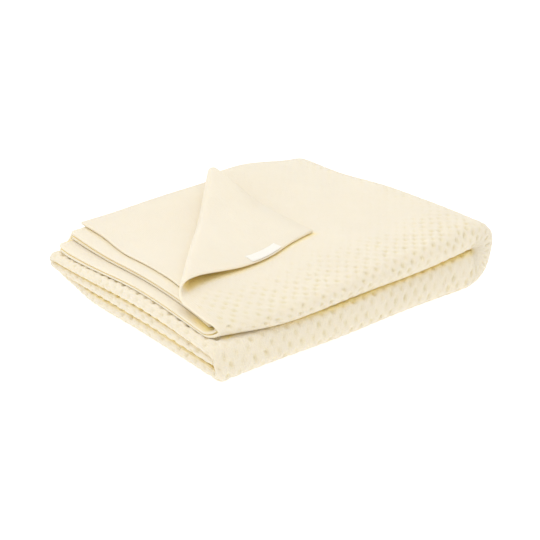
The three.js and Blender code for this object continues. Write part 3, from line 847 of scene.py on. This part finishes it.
def thread_rows(tree, place, ribs, loops, slant):
    """Places the thread group with its own counts per unit of the flat map."""
    node = tree.nodes.new("ShaderNodeGroup")
    node.node_tree = threads
    feed(tree, place, node, "Map")
    for name, value in (("Ribs", ribs), ("Loops", loops), ("Slant", slant)):
        node.inputs[name].default_value = value
    return node, "Height"


def mixed(tree, share, first, second, kind="RGBA", blend="MIX"):
    """A mix of two colours or two values; share, first and second are plain or (node, socket) pairs."""
    node = tree.nodes.new("ShaderNodeMix")
    node.data_type = kind
    node.blend_type = blend
    *slots, result = MIX_SOCKETS[kind]
    for slot, value in zip(slots, (share, first, second)):
        feed(tree, value, node, slot)
    return node, result


def bump(tree, height, distance, strength):
    """A Bump node in which a height of 1 stands for that distance in m."""
    node = tree.nodes.new("ShaderNodeBump")
    node.inputs["Distance"].default_value = distance
    node.inputs["Strength"].default_value = strength
    feed(tree, height, node, "Height")
    return node, "Normal"


# %% The knit's material
CREAM = srgb(238, 228, 207)
# painted shade for the pits
PAINTED_PIT_SHADE = srgb(235, 223, 189)
# painted golden bounce light and shade between layers
PAINTED_GOLDEN_BOUNCE = srgb(252, 231, 165)
YARN = dict(roughness=0.95, sheen=0.04)
GLOW = 0.6                    # share of the light that passes through the loose yarn
CLOUD = dict(scale=0.35, detail=3.0)                # of the slow change of tone, per repeat of the knit
TONE_SHIFT = 0.05
STITCHES = dict(ribs=6.0, loops=8.0, slant=0.9)     # per repeat of the knit
REVERSE_STITCHES = dict(ribs=6.0, loops=8.0, slant=0.0)
FIBRES = dict(scale=4.0, detail=2.0)                # lumps of the uneven yarn, per repeat of the knit
FIBRE_SHARE = 1.5             # their height beside that of the stitches
STITCH_BUMP = dict(distance=0.0006, strength=0.5)


def knit_material():
    """Cream yarn: painted shade in the pits, painted golden bounce light and shade between layers, a slow
    change of tone over the cloth, and the stitches of either side with their uneven yarn as bump."""
    material, tree, shader = new_material("cream_knit", CREAM, **YARN)
    shader.inputs["Subsurface Weight"].default_value = GLOW
    place = flat_map(tree)
    # painted shade in the pits, by the bumps' height
    tone = mixed(tree, attribute(tree, "bump"), PAINTED_PIT_SHADE, CREAM)
    # painted golden bounce light and shade where the cloth is tucked between layers
    tone = mixed(tree, attribute(tree, "tucked"), tone, PAINTED_GOLDEN_BOUNCE)
    slow = math_node(tree, "MULTIPLY_ADD", noise(tree, place, **CLOUD), TONE_SHIFT, 1 - TONE_SHIFT / 2)
    feed(tree, mixed(tree, 1.0, tone, slow, blend="MULTIPLY"), shader, "Base Color")
    front = thread_rows(tree, place, **STITCHES)
    back = thread_rows(tree, place, **REVERSE_STITCHES)
    stitches = mixed(tree, attribute(tree, "reverse"), front, back, kind="FLOAT")
    yarn = math_node(tree, "MULTIPLY_ADD", noise(tree, place, **FIBRES), FIBRE_SHARE, stitches)
    feed(tree, bump(tree, yarn, **STITCH_BUMP), shader, "Normal")
    return material


blanket.data.materials.append(knit_material())
print("knit:", len(blanket.data.materials[0].node_tree.nodes), "nodes")

# %% The label's material
TAPE = srgb(253, 249, 240)
TAPE_SHADE = srgb(244, 239, 228)                    # between its threads
TAPE_FINISH = dict(roughness=0.7, sheen=0.05)
WEAVE = dict(ribs=1600.0, loops=2600.0, slant=0.0)  # threads per m
WEAVE_BUMP = dict(distance=0.0002, strength=0.5)


def tape_material():
    """White woven tape: fine even threads both ways."""
    material, tree, shader = new_material("white_tape", TAPE, **TAPE_FINISH)
    weave = thread_rows(tree, flat_map(tree), **WEAVE)
    feed(tree, mixed(tree, weave, TAPE_SHADE, TAPE), shader, "Base Color")
    feed(tree, bump(tree, weave, **WEAVE_BUMP), shader, "Normal")
    return material


label.data.materials.append(tape_material())
print("materials:", [m.name for m in bpy.data.materials if m.users])

# %% [markdown]
# ## The pieces in place of the solids
# Each piece hides the solid of model.glb that it stands for, and moves with the root body.

for piece, node, slot in ((blanket, "blanket", "knit"), (label, "label", "tape")):
    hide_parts(node)
    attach(piece, "root")

# %% [markdown]
# ## Floor, light and camera
# The bundle lies on a plain white floor in even light from a large window above, as in a product picture.
# A dark floor would throw brown light up into the cream yarn. The floor glows a little, so the shadow that
# the bundle throws on it stays faint.

# %% Floor
FLOOR_HALF = 8.0              # m
FLOOR_DROP = 0.0002           # m below the bundle, so that no two faces share a place
FLOOR_GREY = (0.5, 0.5, 0.5, 1)
FLOOR_GLOW = 0.7
WHITE = (1, 1, 1, 1)
floor_mesh = bpy.data.meshes.new("floor")
floor_mesh.from_pydata([(-FLOOR_HALF, -FLOOR_HALF, 0), (FLOOR_HALF, -FLOOR_HALF, 0),
                        (FLOOR_HALF, FLOOR_HALF, 0), (-FLOOR_HALF, FLOOR_HALF, 0)], [], [(0, 1, 2, 3)])
floor = bpy.data.objects.new("floor", floor_mesh)
floor.location.z = -FLOOR_DROP
bpy.context.scene.collection.objects.link(floor)
floor_material, _, floor_shader = new_material("white_floor", FLOOR_GREY, roughness=1.0, sheen=0.0)
floor_shader.inputs["Emission Color"].default_value = WHITE
floor_shader.inputs["Emission Strength"].default_value = FLOOR_GLOW
floor_mesh.materials.append(floor_material)
print("floor", 2 * FLOOR_HALF, "m wide")

# %% Light
ROOM_LIGHT = 0.89
WINDOW = dict(place=(-0.35, 0.15, 1.5), aim=(0, 0, 0), size=1.4, power=7.1)      # m and W
world = bpy.data.worlds.new("white_room")
bpy.context.scene.world = world
world.use_nodes = True
world.node_tree.nodes["Background"].inputs["Color"].default_value = WHITE
world.node_tree.nodes["Background"].inputs["Strength"].default_value = ROOM_LIGHT


def window(name, place, aim, size, power):
    """A square area light at a place in m, turned to face a point."""
    light = bpy.data.lights.new(name, "AREA")
    light.size = size
    light.energy = power
    lamp = bpy.data.objects.new(name, light)
    lamp.location = place
    lamp.rotation_euler = (Vector(aim) - Vector(place)).to_track_quat("-Z", "Y").to_euler()
    bpy.context.scene.collection.objects.link(lamp)


window("window_above", **WINDOW)
bpy.context.scene.view_settings.view_transform = "Standard"

# %% Camera
AZIMUTH, ELEVATION = np.radians(39.1), np.radians(23.8)
DISTANCE, LENS, SENSOR = 1227.3, 77.86, 36.0      # mm
TARGET = np.array([156.9, 120.3, 30.0])         # in the bundle's own millimetres
ahead = np.array([np.sin(AZIMUTH) * np.cos(ELEVATION), np.cos(AZIMUTH) * np.cos(ELEVATION),
                  -np.sin(ELEVATION)])
camera_data = bpy.data.cameras.new("camera")
camera_data.lens = LENS
camera_data.sensor_width = SENSOR
camera = bpy.data.objects.new("camera", camera_data)
camera.location = placed(TARGET - DISTANCE * ahead)
camera.rotation_euler = Vector(ahead).to_track_quat("-Z", "Y").to_euler()
bpy.context.scene.collection.objects.link(camera)
bpy.context.scene.camera = camera
print("camera at", [round(v, 3) for v in camera.location])
